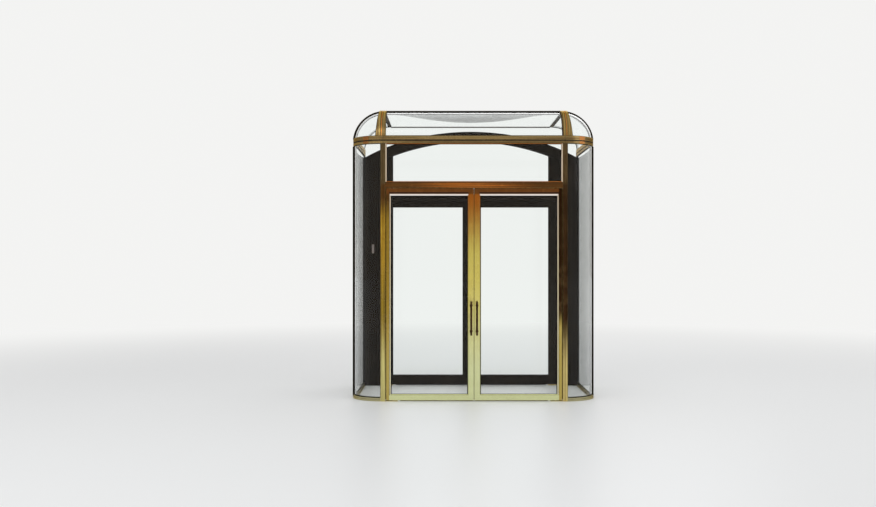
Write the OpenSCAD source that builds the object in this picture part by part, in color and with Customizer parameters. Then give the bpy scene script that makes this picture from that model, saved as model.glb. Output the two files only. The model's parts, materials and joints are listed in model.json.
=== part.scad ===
// Glazed entrance vestibule with rounded corners, a pair of brass swing doors towards the lobby
// and a dark bronze pair under a segmental arch at the wall end. Millimetres, +Z up, lobby side at -Y.
// Origin at the middle of the bounding box, on the floor.

/* [Overall] */
// Width over the side tubes
overall_w = 2620; // [2400:10:2800]
// Height over the roof rails
overall_h = 3110; // [3060:10:3300]
// Depth from the front of the posts to the wall
box_depth = 1410; // [1300:10:1800]
// Radius of the rounded edges, at the middle of the glass
corner_r = 323; // [281:2:341]
// Thickness of the glass
glass_t = 10; // [8:1:12]

/* [Brass frame] */
// Side of the square front posts
post_w = 50; // [45:1:60]
// Thickness of the tubes and rails along the rounded edges
tube_w = 32; // [26:2:34]
// Height of the beam above the doors
beam_h = 80; // [70:2:90]
// Depth of that beam from face to face
beam_d = 40; // [36:2:44]
// Height of the beam's lower band
band_h = 26; // [20:1:30]
// Height of the groove between the beam's bands
groove_h = 12; // [8:1:16]
// Depth of that groove
groove_d = 8; // [3:1:12]
// Height of the base rail
base_h = 40; // [34:1:60]
// Width of the foot of the base rail
base_w = 46; // [40:2:48]
// Height of that foot
base_foot_h = 18; // [12:1:26]
// Width of the posts at the wall
wall_post_w = 44; // [36:2:60]
// Height of the channel that takes the roof glass at the wall
channel_h = 24; // [20:1:32]
// Depth of that channel
channel_d = 16; // [12:1:24]
// Chamfer along the edges of posts and rails
chamfer = 3; // [2:0.5:5]

/* [Roof ribs] */
// How far the rib reaches past its post towards the corner, at its foot
rib_flange = 52; // [40:1:60]
// How much narrower the rib is at the top
rib_taper = 27; // [10:1:27]

/* [Lobby doors] */
// Underside of the header over the lobby doors
header_z = 2250; // [2100:10:2300]
// Height of the header
header_h = 60; // [50:2:80]
// Thickness of a door leaf
leaf_t = 45; // [40:1:50]
// Width of the leaf's stile at its heel
heel_w = 34; // [30:1:60]
// Width of the leaf's stile where the two leaves meet
meet_w = 55; // [50:1:70]
// Height of the leaf's top rail
leaf_top_h = 55; // [50:1:80]
// Height of the leaf's bottom rail
leaf_bottom_h = 54; // [40:1:80]
// Gap round a moving leaf
leaf_gap = 6; // [5:0.5:10]
// Gap under a leaf
floor_gap = 12; // [12:1:16]
// Distance from the heel of a leaf to its pivot
pivot_in = 70; // [60:1:80]

/* [Wall doorway] */
// Half of the opening between the wall jambs
jamb_in = 1050; // [1030:5:1060]
// Depth of the wall doorway's frame
jamb_d = 90; // [80:2:110]
// Height of the bar over the wall doors
transom_h = 60; // [50:2:80]
// Width of the fanlight's side frames
fan_side_w = 120; // [80:5:140]
// Depth of the fanlight's side frames
fan_side_d = 60; // [40:2:80]
// Side of the square grooves down the jambs
jamb_groove = 8; // [4:1:12]
// Height of the crown of the arch
arch_top = 3012; // [2990:2:3030]
// Radius of the arch's outer edge
arch_r = 2740; // [2700:10:2900]
// Thickness of the arch
arch_t = 115; // [90:5:130]
// Width of the wall leaves' heel stiles
wall_heel_w = 115; // [90:5:130]
// Width of the wall leaves' meeting stiles
wall_meet_w = 85; // [70:5:100]
// Height of the wall leaves' bottom rails
wall_bottom_h = 106; // [80:2:140]
// Height of the wall leaves' top rails
wall_top_h = 64; // [54:2:90]

/* [Pulls] */
// Diameter of the pull bars
pull_d = 20; // [18:1:26]
// Lower end of the pull bars
pull_z = 700; // [600:10:900]
// Length of the pull bars
pull_len = 350; // [300:10:500]
// Distance from the leaf's face to the middle of the bar
pull_off = 42; // [36:1:50]

/* [Hidden] */
$fn = 64;

LEFT = -1;
RIGHT = 1;

// Places shared by the pieces: the glass lies flush with the inner side of the tubes
half_tube = tube_w / 2;
half_glass = glass_t / 2;
half_post = post_w / 2;
tube_out = half_tube - half_glass;
tube_r = corner_r + tube_out;
side_x = overall_w / 2 - half_tube;
glass_x = side_x - tube_out;
bend_x = glass_x - corner_r;
roof_z = overall_h - half_tube;
glass_z = roof_z - tube_out;
bend_z = glass_z - corner_r;
beam_top = bend_z + beam_h / 2;
beam_under = bend_z - beam_h / 2;

// The pulls reach past the posts and past the wall, and the origin lies midway between them
pull_reach = leaf_t / 2 + pull_off + pull_d / 2;
run_y = box_depth - half_post - jamb_d / 2;
front_y = -run_y / 2;
wall_leaf_y = run_y / 2;
wall_y = wall_leaf_y + jamb_d / 2;
bend_y = front_y + corner_r;
hoop_y = wall_y - tube_w;
screen_y = wall_y - jamb_d;

post_in = bend_x - half_post;
post_out = bend_x + half_post;
leaf_top = header_z - leaf_gap;
wall_leaf_top = leaf_top - transom_h;
lobby_pivot_x = post_in - leaf_gap - pivot_in;
wall_pivot_x = jamb_in - leaf_gap - pivot_in;
lobby_reach = lobby_pivot_x - leaf_gap / 2;
wall_reach = wall_pivot_x - leaf_gap / 2;
wall_post_in = overall_w / 2 - wall_post_w;
channel_z = glass_z - channel_h / 2;
fan_in = jamb_in - fan_side_w;
arch_z = arch_top - arch_r;

// Small parts of the pivots
pivot_plate = [130, 50, 6];
pin_d = 18;
bore_d = 21;
pin_len = 34;
bore_depth = 40;

// Small parts of the pulls
rose_d = 32;
rose_t = 5;
stem_d = 14;
stem_in = 40;
far = 4000;

// A rectangle with its corners cut off
module bar_section(w, h, c) {
    polygon([
        [-w / 2 + c, -h / 2], [w / 2 - c, -h / 2], [w / 2, -h / 2 + c], [w / 2, h / 2 - c],
        [w / 2 - c, h / 2], [-w / 2 + c, h / 2], [-w / 2, h / 2 - c], [-w / 2, -h / 2 + c]
    ]);
}

// The beam in section: an upper and a lower band with a groove between them on both faces
module beam_section() {
    u = beam_d / 2;
    v = u - groove_d;
    low = beam_under;
    band = low + band_h;
    polygon([
        [-u + chamfer, low], [u - chamfer, low], [u, low + chamfer], [u, band], [v, band],
        [v, band + groove_h], [u, band + groove_h], [u, beam_top - chamfer], [u - chamfer, beam_top],
        [-u + chamfer, beam_top], [-u, beam_top - chamfer], [-u, band + groove_h],
        [-v, band + groove_h], [-v, band], [-u, band], [-u, low + chamfer]
    ]);
}

// The base rail in section: a wide foot under a narrower upstand
module base_section() {
    foot = base_w / 2;
    h = base_foot_h;
    polygon([
        [-foot, 0], [foot, 0], [foot, h - chamfer], [foot - chamfer, h],
        [half_tube, h], [half_tube, base_h], [-half_tube, base_h], [-half_tube, h],
        [-foot + chamfer, h], [-foot, h - chamfer]
    ]);
}

// Mirrors a piece drawn for the right-hand side
module on_side(side) {
    if (side == LEFT) mirror([1, 0, 0]) children();
    else children();
}

// Sweeps a section, drawn outwards from the glass line, round a front corner and back to the wall post
module corner_and_side() {
    translate([bend_x, bend_y, 0]) rotate([0, 0, -90]) rotate_extrude(angle = 90)
        translate([corner_r, 0]) children();
    translate([glass_x, hoop_y, 0]) rotate([90, 0, 0]) linear_extrude(hoop_y - bend_y) children();
}

// Turns a bend drawn about +Z so that it rises from the front face to the roof, along -X from x
module front_bend(x) {
    translate([x, bend_y, bend_z]) rotate([90, 0, -90]) children();
}

// Turns a bend drawn about +Z so that it rises from the right side to the roof, along -Y from y
module side_bend(y) {
    translate([bend_x, y, bend_z]) rotate([90, 0, 0]) children();
}

// A quarter bend of a shell of middle radius r and thickness t, and length w along its axis
module quarter_shell(r, t, w) {
    rotate_extrude(angle = 90) translate([r - t / 2, 0]) square([t, w]);
}

// Everything above a level
module above(z) {
    translate([-far / 2, -far / 2, z]) cube([far, far, far]);
}

// The room on the inner side of the roof rib's slanted edge, on the right
module inside_of_rib_edge() {
    translate([bend_x + half_post + rib_flange, 0, beam_top])
        rotate([0, -atan(rib_taper / (overall_h - beam_top)), 0])
            translate([-far, -far / 2, -far / 2]) cube([far, far, far]);
}

// The base rail stops at the front post, and is notched round the side post and the wall jamb
module base_rail(side) {
    color("darkkhaki") on_side(side) difference() {
        corner_and_side() base_section();
        translate([jamb_in, screen_y, -1]) cube([wall_post_in - jamb_in, jamb_d, base_h + 2]);
        translate([post_in, front_y - post_w, -1]) cube([post_w, 2 * post_w, base_h + 2]);
        translate([side_x, bend_y, base_foot_h]) cylinder(h = base_h, d = tube_w);
    }
}

module front_post(side) {
    color("goldenrod") translate([side * bend_x, front_y, 0])
        linear_extrude(beam_under) bar_section(post_w, post_w, chamfer);
}

module side_post(side) {
    color("saddlebrown") translate([side * side_x, bend_y, base_foot_h])
        cylinder(h = beam_under - base_foot_h, d = tube_w);
}

module wall_post(side) {
    color("saddlebrown") on_side(side) translate([wall_post_in, hoop_y, 0])
        cube([wall_post_w, tube_w, bend_z]);
}

module front_beam() {
    color("goldenrod") translate([bend_x, front_y, 0]) rotate([90, 0, -90])
        linear_extrude(2 * bend_x) beam_section();
}

module side_beam(side) {
    color("goldenrod") on_side(side) corner_and_side() beam_section();
}

// The bends over the wall posts, each with a short straight end that the roof rail meets
module wall_hoop() {
    color("saddlebrown") for (side = [LEFT, RIGHT]) on_side(side) {
        side_bend(wall_y) quarter_shell(tube_r, tube_w, tube_w);
        translate([bend_x - half_tube, hoop_y, roof_z - half_tube]) cube([half_tube, tube_w, tube_w]);
    }
}

// A slim channel along the wall between those ends, which the roof glass runs up to
module roof_wall_channel() {
    x = bend_x - half_tube;
    color("darkkhaki") translate([-x, wall_y - channel_d, channel_z])
        cube([2 * x, channel_d, channel_h]);
}

module roof_front_rail() {
    color("saddlebrown") translate([-post_in, bend_y, roof_z]) rotate([90, 0, 90])
        linear_extrude(2 * post_in) bar_section(tube_w, tube_w, chamfer);
}

module roof_rail(side) {
    start = bend_y + half_tube;
    color("saddlebrown") translate([side * bend_x, hoop_y, roof_z]) rotate([90, 0, 0])
        linear_extrude(hoop_y - start) bar_section(tube_w, tube_w, 1);
}

// The rib carries on from the post over the beam and up to the roof, wider than the post
// on the side of the corner, where its slanted edge holds the glass of the dome
module roof_rib(side) {
    rib_w = post_w + rib_flange;
    color("goldenrod") on_side(side) intersection() {
        union() {
            front_bend(post_out + rib_flange) quarter_shell(tube_r, tube_w, rib_w);
            translate([post_in, bend_y, roof_z - half_tube]) cube([rib_w, half_tube, tube_w]);
        }
        inside_of_rib_edge();
        above(beam_top);
    }
}

module corner_arc(side) {
    color("saddlebrown") on_side(side) difference() {
        intersection() {
            side_bend(bend_y) rotate_extrude(angle = 90) translate([tube_r, 0]) circle(d = tube_w);
            above(beam_top);
        }
        inside_of_rib_edge();
    }
}

module door_header() {
    color("peru") {
        translate([-post_in, front_y, header_z + header_h / 2]) rotate([90, 0, 90])
            linear_extrude(2 * post_in) bar_section(post_w, header_h, chamfer);
        for (side = [LEFT, RIGHT]) translate([side * lobby_pivot_x, front_y, header_z - pin_len])
            cylinder(h = pin_len + 1, d = pin_d);
    }
}

// A plate on the floor at each leaf's heel, with the pin that the leaf turns on
module floor_pivot(x_edge, x_pin, y) {
    translate([x_edge - pivot_plate.x, y - pivot_plate.y / 2, 0]) cube(pivot_plate);
    translate([x_pin, y, 0]) cylinder(h = floor_gap + pin_len, d = pin_d);
}

module floor_pivots() {
    color("darkgoldenrod") for (side = [LEFT, RIGHT]) on_side(side) {
        floor_pivot(post_in, lobby_pivot_x, front_y);
        floor_pivot(jamb_in, wall_pivot_x, wall_leaf_y);
    }
}

module transom_light() {
    z = header_z + header_h;
    color("lightcyan") translate([-post_in, front_y - half_glass, z])
        cube([2 * post_in, glass_t, beam_under - z]);
}

module front_cove_glass() {
    color("lightcyan") intersection() {
        front_bend(post_in) quarter_shell(corner_r, glass_t, 2 * post_in);
        above(beam_top);
        translate([-far / 2, bend_y - half_tube - far, 0]) cube(far);
    }
}

module roof_glass() {
    x = bend_x - half_tube;
    y = bend_y + half_tube;
    color("lightcyan") translate([-x, y, glass_z - half_glass])
        cube([2 * x, wall_y - channel_d - y, glass_t]);
}

module side_glass(side) {
    y = bend_y + half_tube;
    color("lightcyan") on_side(side) translate([glass_x - half_glass, y, base_h])
        cube([glass_t, hoop_y - y, beam_under - base_h]);
}

module corner_glass(side) {
    color("lightcyan") on_side(side) intersection() {
        translate([bend_x, bend_y, base_h]) rotate([0, 0, -90])
            quarter_shell(corner_r, glass_t, beam_under - base_h);
        translate([post_out, bend_y - half_tube - far, 0]) cube(far);
    }
}

module side_cove_glass(side) {
    y = bend_y + half_tube;
    color("lightcyan") on_side(side) intersection() {
        side_bend(hoop_y) quarter_shell(corner_r, glass_t, hoop_y - y);
        above(beam_top);
        translate([bend_x + half_tube, -far / 2, 0]) cube(far);
    }
}

// A shell of part of a sphere, drawn without its pole, which lies under the rib
module corner_dome_glass(side) {
    r = corner_r + half_glass;
    pole_r = post_w;
    color("lightcyan") on_side(side) difference() {
        intersection() {
            translate([bend_x, bend_y, bend_z]) rotate([0, 0, -90]) rotate_extrude(angle = 90, $fn = 180)
                intersection() {
                    difference() {
                        circle(r, $fn = 180);
                        circle(r - glass_t, $fn = 180);
                    }
                    translate([pole_r, 0]) square(r);
                }
            above(beam_top);
            translate([0, bend_y - half_tube - far, 0]) cube(far);
        }
        inside_of_rib_edge();
    }
}

// An upright sheet in the plane of the wall doorway, from y back to y + t
module in_wall_plane(y, t) {
    translate([0, y + t, 0]) rotate([90, 0, 0]) linear_extrude(t) children();
}

module arch_disc(r) {
    translate([0, arch_z]) circle(r, $fn = 180);
}

// A jamb with two grooves down its lobby face, a quarter of its width from each edge
module wall_jamb(side) {
    w = wall_post_in - jamb_in;
    color("darkslategray") on_side(side) difference() {
        in_wall_plane(screen_y, jamb_d) intersection() {
            translate([jamb_in, 0]) square([w, beam_under]);
            arch_disc(arch_r - arch_t);
        }
        for (x = [jamb_in + w / 4, wall_post_in - w / 4])
            translate([x - jamb_groove / 2, screen_y - jamb_groove, -1])
                cube([jamb_groove, 2 * jamb_groove, far]);
    }
}

module wall_arch() {
    color("darkslategray") in_wall_plane(screen_y, jamb_d) intersection() {
        difference() {
            arch_disc(arch_r);
            arch_disc(arch_r - arch_t);
        }
        translate([-wall_post_in, header_z]) square([2 * wall_post_in, far]);
    }
}

module wall_transom() {
    color("darkslategray") {
        translate([-jamb_in, screen_y, header_z - transom_h]) cube([2 * jamb_in, jamb_d, transom_h]);
        for (side = [LEFT, RIGHT])
            translate([side * wall_pivot_x, wall_leaf_y, header_z - transom_h - pin_len])
                cylinder(h = pin_len + 1, d = pin_d);
    }
}

module fanlight_sides() {
    color("darkslategray") for (side = [LEFT, RIGHT]) on_side(side)
        in_wall_plane(wall_leaf_y - fan_side_d / 2, fan_side_d) intersection() {
            translate([fan_in, header_z]) square([fan_side_w, far]);
            arch_disc(arch_r - arch_t);
        }
}

module fanlight_glass() {
    color("lightcyan") in_wall_plane(wall_leaf_y - half_glass, glass_t) intersection() {
        translate([-fan_in, header_z]) square([2 * fan_in, far]);
        arch_disc(arch_r - arch_t);
    }
}

// The glass between the arch and the hoop
module spandrel_glass() {
    r = tube_r - half_tube;
    x = bend_x - half_tube;
    color("lightcyan") in_wall_plane(wall_y - half_tube - half_glass, glass_t) difference() {
        union() {
            for (side = [LEFT, RIGHT]) translate([side * bend_x, bend_z]) circle(r);
            translate([-bend_x, bend_z]) square([2 * bend_x, r]);
            translate([-wall_post_in, beam_under - arch_t])
                square([2 * wall_post_in, bend_z - beam_under + arch_t]);
        }
        arch_disc(arch_r);
        translate([-x, channel_z]) square([2 * x, far]);
        for (side = [LEFT, RIGHT]) on_side(side)
            translate([wall_post_in, 0]) square([far, bend_z]);
    }
}

// One leaf in plan, drawn for the right-hand side with its pivot at the origin: the heel is rounded
// about the pivot so that its gap stays the same as it turns
module leaf_plan(reach) {
    intersection() {
        translate([-reach, -leaf_t / 2]) square([reach + pivot_in, leaf_t]);
        union() {
            circle(pivot_in, $fn = 128);
            translate([-reach, -leaf_t]) square([reach, 2 * leaf_t]);
        }
    }
}

// A leaf's frame for the right-hand side, with the opening for its glass and the two pivot bores
module leaf_frame(reach, top, heel, meet, top_h, bottom_h) {
    opening_w = reach + pivot_in - heel - meet;
    difference() {
        translate([0, 0, floor_gap]) linear_extrude(top - floor_gap) leaf_plan(reach);
        translate([-reach + meet, -leaf_t, floor_gap + bottom_h])
            cube([opening_w, 2 * leaf_t, top - top_h - bottom_h - floor_gap]);
        translate([0, 0, floor_gap - 1]) cylinder(h = bore_depth + 1, d = bore_d);
        translate([0, 0, top - bore_depth]) cylinder(h = bore_depth + 1, d = bore_d);
    }
}

// The sheet of glass that fills that opening
module leaf_sheet(reach, top, heel, meet, top_h, bottom_h) {
    translate([-reach + meet, -half_glass, floor_gap + bottom_h])
        cube([reach + pivot_in - heel - meet, glass_t, top - top_h - bottom_h - floor_gap]);
}

// A pull on each face of a leaf: an upright bar on two stems with roses
module pull_pair(x) {
    for (face = [-1, 1]) {
        translate([x, face * (leaf_t / 2 + pull_off), pull_z]) cylinder(h = pull_len, d = pull_d);
        for (z = [pull_z + stem_in, pull_z + pull_len - stem_in])
            translate([x, face * leaf_t / 2, z]) rotate([-90 * face, 0, 0]) {
                cylinder(h = pull_off, d = stem_d);
                cylinder(h = rose_t, d = rose_d);
            }
    }
}

module at_lobby_pivot(side) {
    on_side(side) translate([lobby_pivot_x, front_y, 0]) children();
}

module at_wall_pivot(side) {
    on_side(side) translate([wall_pivot_x, wall_leaf_y, 0]) children();
}

module lobby_leaf(side) {
    color("gold") at_lobby_pivot(side)
        leaf_frame(lobby_reach, leaf_top, heel_w, meet_w, leaf_top_h, leaf_bottom_h);
}

module lobby_leaf_glass(side) {
    color("lightcyan") at_lobby_pivot(side)
        leaf_sheet(lobby_reach, leaf_top, heel_w, meet_w, leaf_top_h, leaf_bottom_h);
}

module lobby_pulls(side) {
    color("darkgoldenrod") at_lobby_pivot(side) pull_pair(meet_w / 2 - lobby_reach);
}

module wall_leaf(side) {
    color("dimgray") at_wall_pivot(side)
        leaf_frame(wall_reach, wall_leaf_top, wall_heel_w, wall_meet_w, wall_top_h, wall_bottom_h);
}

module wall_leaf_glass(side) {
    color("lightcyan") at_wall_pivot(side)
        leaf_sheet(wall_reach, wall_leaf_top, wall_heel_w, wall_meet_w, wall_top_h, wall_bottom_h);
}

module wall_pulls(side) {
    color("dimgray") at_wall_pivot(side) pull_pair(wall_meet_w / 2 - wall_reach);
}

base_rail(LEFT);  // base_rail_left
base_rail(RIGHT);  // base_rail_right
front_post(LEFT);  // front_post_left
front_post(RIGHT);  // front_post_right
side_post(LEFT);  // side_post_left
side_post(RIGHT);  // side_post_right
wall_post(LEFT);  // wall_post_left
wall_post(RIGHT);  // wall_post_right
front_beam();
side_beam(LEFT);  // side_beam_left
side_beam(RIGHT);  // side_beam_right
wall_hoop();
roof_wall_channel();
roof_front_rail();
roof_rail(LEFT);  // roof_rail_left
roof_rail(RIGHT);  // roof_rail_right
roof_rib(LEFT);  // roof_rib_left
roof_rib(RIGHT);  // roof_rib_right
corner_arc(LEFT);  // corner_arc_left
corner_arc(RIGHT);  // corner_arc_right
door_header();
floor_pivots();
transom_light();
front_cove_glass();
roof_glass();
side_glass(LEFT);  // side_glass_left
side_glass(RIGHT);  // side_glass_right
corner_glass(LEFT);  // corner_glass_left
corner_glass(RIGHT);  // corner_glass_right
side_cove_glass(LEFT);  // side_cove_glass_left
side_cove_glass(RIGHT);  // side_cove_glass_right
corner_dome_glass(LEFT);  // corner_dome_glass_left
corner_dome_glass(RIGHT);  // corner_dome_glass_right
wall_jamb(LEFT);  // wall_jamb_left
wall_jamb(RIGHT);  // wall_jamb_right
wall_arch();
wall_transom();
fanlight_sides();
fanlight_glass();
spandrel_glass();
lobby_leaf(LEFT);  // lobby_leaf_left
lobby_leaf(RIGHT);  // lobby_leaf_right
lobby_leaf_glass(LEFT);  // lobby_leaf_glass_left
lobby_leaf_glass(RIGHT);  // lobby_leaf_glass_right
lobby_pulls(LEFT);  // lobby_pulls_left
lobby_pulls(RIGHT);  // lobby_pulls_right
wall_leaf(LEFT);  // wall_leaf_left
wall_leaf(RIGHT);  // wall_leaf_right
wall_leaf_glass(LEFT);  // wall_leaf_glass_left
wall_leaf_glass(RIGHT);  // wall_leaf_glass_right
wall_pulls(LEFT);  // wall_pulls_left
wall_pulls(RIGHT);  // wall_pulls_right
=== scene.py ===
import json
import math

import bmesh
import bpy
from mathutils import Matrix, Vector


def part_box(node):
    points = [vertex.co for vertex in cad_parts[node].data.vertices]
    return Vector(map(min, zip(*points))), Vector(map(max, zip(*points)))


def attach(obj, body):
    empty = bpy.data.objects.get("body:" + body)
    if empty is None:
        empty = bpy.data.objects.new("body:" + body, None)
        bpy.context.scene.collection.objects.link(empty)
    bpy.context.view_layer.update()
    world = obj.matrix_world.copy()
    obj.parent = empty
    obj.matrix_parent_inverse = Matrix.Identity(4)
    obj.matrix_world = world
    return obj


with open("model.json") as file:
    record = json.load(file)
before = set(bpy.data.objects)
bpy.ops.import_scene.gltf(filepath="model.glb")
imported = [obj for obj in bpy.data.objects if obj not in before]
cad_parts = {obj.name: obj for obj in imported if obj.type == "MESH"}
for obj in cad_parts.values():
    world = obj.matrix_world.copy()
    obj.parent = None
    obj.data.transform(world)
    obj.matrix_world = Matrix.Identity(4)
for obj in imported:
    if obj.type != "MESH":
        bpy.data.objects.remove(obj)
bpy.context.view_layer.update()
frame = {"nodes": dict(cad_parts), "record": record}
NODES = frame["nodes"]
SLOT_OF = {s["node"]: s["material_slot"] for s in frame["record"]["subparts"]}

# Sizes of the construction, in metres, read from the frame where it holds them
LEFT, RIGHT = -1, 1
SIDES = ((LEFT, "left"), (RIGHT, "right"))
POST_LOW, POST_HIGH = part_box("front_post_right")
TUBE_LOW, TUBE_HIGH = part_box("side_post_right")
HOOP_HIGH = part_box("wall_hoop")[1]
BEAM_LOW, BEAM_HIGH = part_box("front_beam")
ROOF_LOW, ROOF_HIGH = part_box("roof_glass")
RIB_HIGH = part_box("roof_rib_right")[1]
BASE_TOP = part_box("base_rail_right")[1].z
JAMB_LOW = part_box("wall_jamb_right")[0]
POST_X = (POST_LOW.x + POST_HIGH.x) / 2
FRONT_Y = (POST_LOW.y + POST_HIGH.y) / 2
SIDE_X = (TUBE_LOW.x + TUBE_HIGH.x) / 2
BEND_Y = (TUBE_LOW.y + TUBE_HIGH.y) / 2
BEND_Z = (BEAM_LOW.z + BEAM_HIGH.z) / 2
TUBE_W = TUBE_HIGH.x - TUBE_LOW.x
HALF_TUBE = TUBE_W / 2
HALF_GLASS = 0.005
TUBE_R = SIDE_X - POST_X
GLASS_R = TUBE_R - HALF_TUBE + HALF_GLASS
GLASS_X = POST_X + GLASS_R
WALL_POST_Y = HOOP_HIGH.y - TUBE_W
RIB_TAPER = 0.027
X_AXIS, Y_AXIS, Z_AXIS = Vector((1, 0, 0)), Vector((0, 1, 0)), Vector((0, 0, 1))
OUTER_R = TUBE_R + HALF_TUBE
BEAM_RISE = BEAM_HIGH.z - BEND_Z
BEAM_HALF = (BEAM_HIGH.y - BEAM_LOW.y) / 2


# Node tools


def feed(tree, socket, value):
    """Links a socket to an output, or sets its plain value."""
    if hasattr(value, "is_output"):
        tree.links.new(value, socket)
    elif socket.type == "RGBA":
        socket.default_value = (*value[:3], 1.0)
    else:
        socket.default_value = value


def set_inputs(tree, node, inputs):
    for label, value in inputs.items():
        feed(tree, node.inputs[label], value)


def add_node(tree, kind, inputs=None, **settings):
    """Adds a node: inputs maps its sockets to outputs or plain values, settings are its own options."""
    node = tree.nodes.new(kind)
    for label, value in settings.items():
        setattr(node, label, value)
    set_inputs(tree, node, inputs or {})
    return node


def math_node(tree, operation, *values, clamp=False):
    return add_node(tree, "ShaderNodeMath", dict(enumerate(values)), operation=operation,
                    use_clamp=clamp).outputs[0]


def product(tree, a, b, clamp=False):
    return math_node(tree, "MULTIPLY", a, b, clamp=clamp)


def difference(tree, a, b):
    return math_node(tree, "SUBTRACT", a, b)


def mix_colour(tree, factor, a, b, blend="MIX"):
    return add_node(tree, "ShaderNodeMix", {0: factor, 6: a, 7: b}, data_type="RGBA",
                    blend_type=blend).outputs[2]


def mix_shaders(tree, factor, first, second):
    return add_node(tree, "ShaderNodeMixShader", {0: factor, 1: first, 2: second}).outputs[0]


def map_range(tree, value, low, high, to_low=0.0, to_high=1.0, smooth=True):
    return add_node(tree, "ShaderNodeMapRange",
                    {"Value": value, "From Min": low, "From Max": high, "To Min": to_low, "To Max": to_high},
                    interpolation_type="SMOOTHSTEP" if smooth else "LINEAR").outputs["Result"]


def object_place(tree):
    return add_node(tree, "ShaderNodeTexCoord").outputs["Object"]


def place_parts(tree):
    """The X, Y and Z of the place on the piece."""
    return add_node(tree, "ShaderNodeSeparateXYZ", {0: object_place(tree)}).outputs


def noise(tree, scale, detail=3.0, roughness=0.5, place=None):
    return add_node(tree, "ShaderNodeTexNoise",
                    {"Vector": object_place(tree) if place is None else place, "Scale": scale,
                     "Detail": detail, "Roughness": roughness}).outputs["Fac"]


def add_input(group, label, value):
    """A named input of a node group: in its label _ stands for a space, and its value tells its kind."""
    kind = {int: "Int", float: "Float", tuple: "Vector"}[type(value)]
    if kind == "Vector" and len(value) == 4:
        kind = "Color"
    socket = group.interface.new_socket(label.replace("_", " "), in_out="INPUT",
                                        socket_type="NodeSocket" + kind)
    socket.default_value = value


# Shader groups

FLAT_FACE, FULL_EDGE = 0.995, 0.90


def shader_group(name, output, build, **inputs):
    """A node group with named inputs and one named output, which build makes from the inputs."""
    group = bpy.data.node_groups.new(name, "ShaderNodeTree")
    for label, value in inputs.items():
        add_input(group, label, value)
    kind = "Color" if output == "Color" else "Float"
    group.interface.new_socket(output, in_out="OUTPUT", socket_type="NodeSocket" + kind)
    given = group.nodes.new("NodeGroupInput").outputs
    group.links.new(build(group, given), group.nodes.new("NodeGroupOutput").inputs[output])
    return group


def brushed_grain(group, given):
    """Fine parallel scratches, drawn out along the direction in which Stretch is small."""
    scaled = add_node(group, "ShaderNodeVectorMath", {0: object_place(group), 1: given["Stretch"]},
                      operation="MULTIPLY")
    fine = noise(group, given["Scale"], detail=2.0, place=scaled.outputs[0])
    spread = product(group, difference(group, fine, 0.5), given["Contrast"])
    return math_node(group, "ADD", spread, 0.5)


def edge_wear(group, given):
    """1 on the outer edges of a piece, broken up by noise, and 0 on its faces."""
    rounded = add_node(group, "ShaderNodeBevel", {"Radius": given["Radius"]}, samples=4)
    flat = add_node(group, "ShaderNodeNewGeometry")
    dot = add_node(group, "ShaderNodeVectorMath",
                   {0: rounded.outputs["Normal"], 1: flat.outputs["Normal"]}, operation="DOT_PRODUCT")
    edge = map_range(group, dot.outputs["Value"], FLAT_FACE, FULL_EDGE)
    broken = map_range(group, noise(group, 35.0, detail=5.0), 0.35, 0.6, 0.25)
    worn = product(group, edge, broken)
    return product(group, worn, given["Amount"], clamp=True)


def handling_smears(group, given):
    """Faint smears and spots of wear, from 0 to 1, stronger around hand height."""
    off = difference(group, place_parts(group)["Z"], given["Hand Height"])
    near = map_range(group, math_node(group, "ABSOLUTE", off), 0.0, given["Reach"], 1.0, given["Elsewhere"])
    smears = map_range(group, noise(group, 9.0, detail=6.0, roughness=0.65), 0.42, 0.68)
    return product(group, near, smears)


def painted_height_tone(group, given):
    """Painted reflections in the brass's colour by height, from pale low down to browner high up."""
    drift = difference(group, noise(group, 1.6), 0.5)
    height = math_node(group, "ADD", place_parts(group)["Z"], product(group, drift, 0.35))
    lower = map_range(group, height, given["Low Height"], given["Middle Height"])
    upper = map_range(group, height, given["Middle Height"], given["High Height"])
    low_part = mix_colour(group, lower, given["Low Colour"], given["Middle Colour"])
    return mix_colour(group, upper, low_part, given["High Colour"])


def patina_clouds(group, given):
    """Soft cloudy patches, from 0 to 1, as on chemically darkened bronze."""
    return map_range(group, noise(group, given["Scale"], detail=6.0, roughness=0.6), given["Low"],
                     given["High"])


def painted_shade_zone(group, given):
    """1 where X lies past an edge and Z lies between two heights, fading softly at all of them: the mask of
    painted shade and darker painted reflections.
    """
    parts = place_parts(group)
    past = difference(group, parts["X"], given["Edge X"])
    over = difference(group, parts["Z"], given["Low Height"])
    under = difference(group, given["High Height"], parts["Z"])
    inside = math_node(group, "MINIMUM", over, under)
    return product(group, map_range(group, past, 0.0, given["Side Fade"]),
                   map_range(group, inside, 0.0, given["Height Fade"]))


def painted_middle_highlight(group, given):
    """1 in the middle of a long bar, fading to 0 towards both of its ends along X: where a painted highlight
    lies.
    """
    away = math_node(group, "ABSOLUTE", place_parts(group)["X"])
    return map_range(group, away, given["Bright Half"], given["Dark Half"], 1.0, 0.0)


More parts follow.
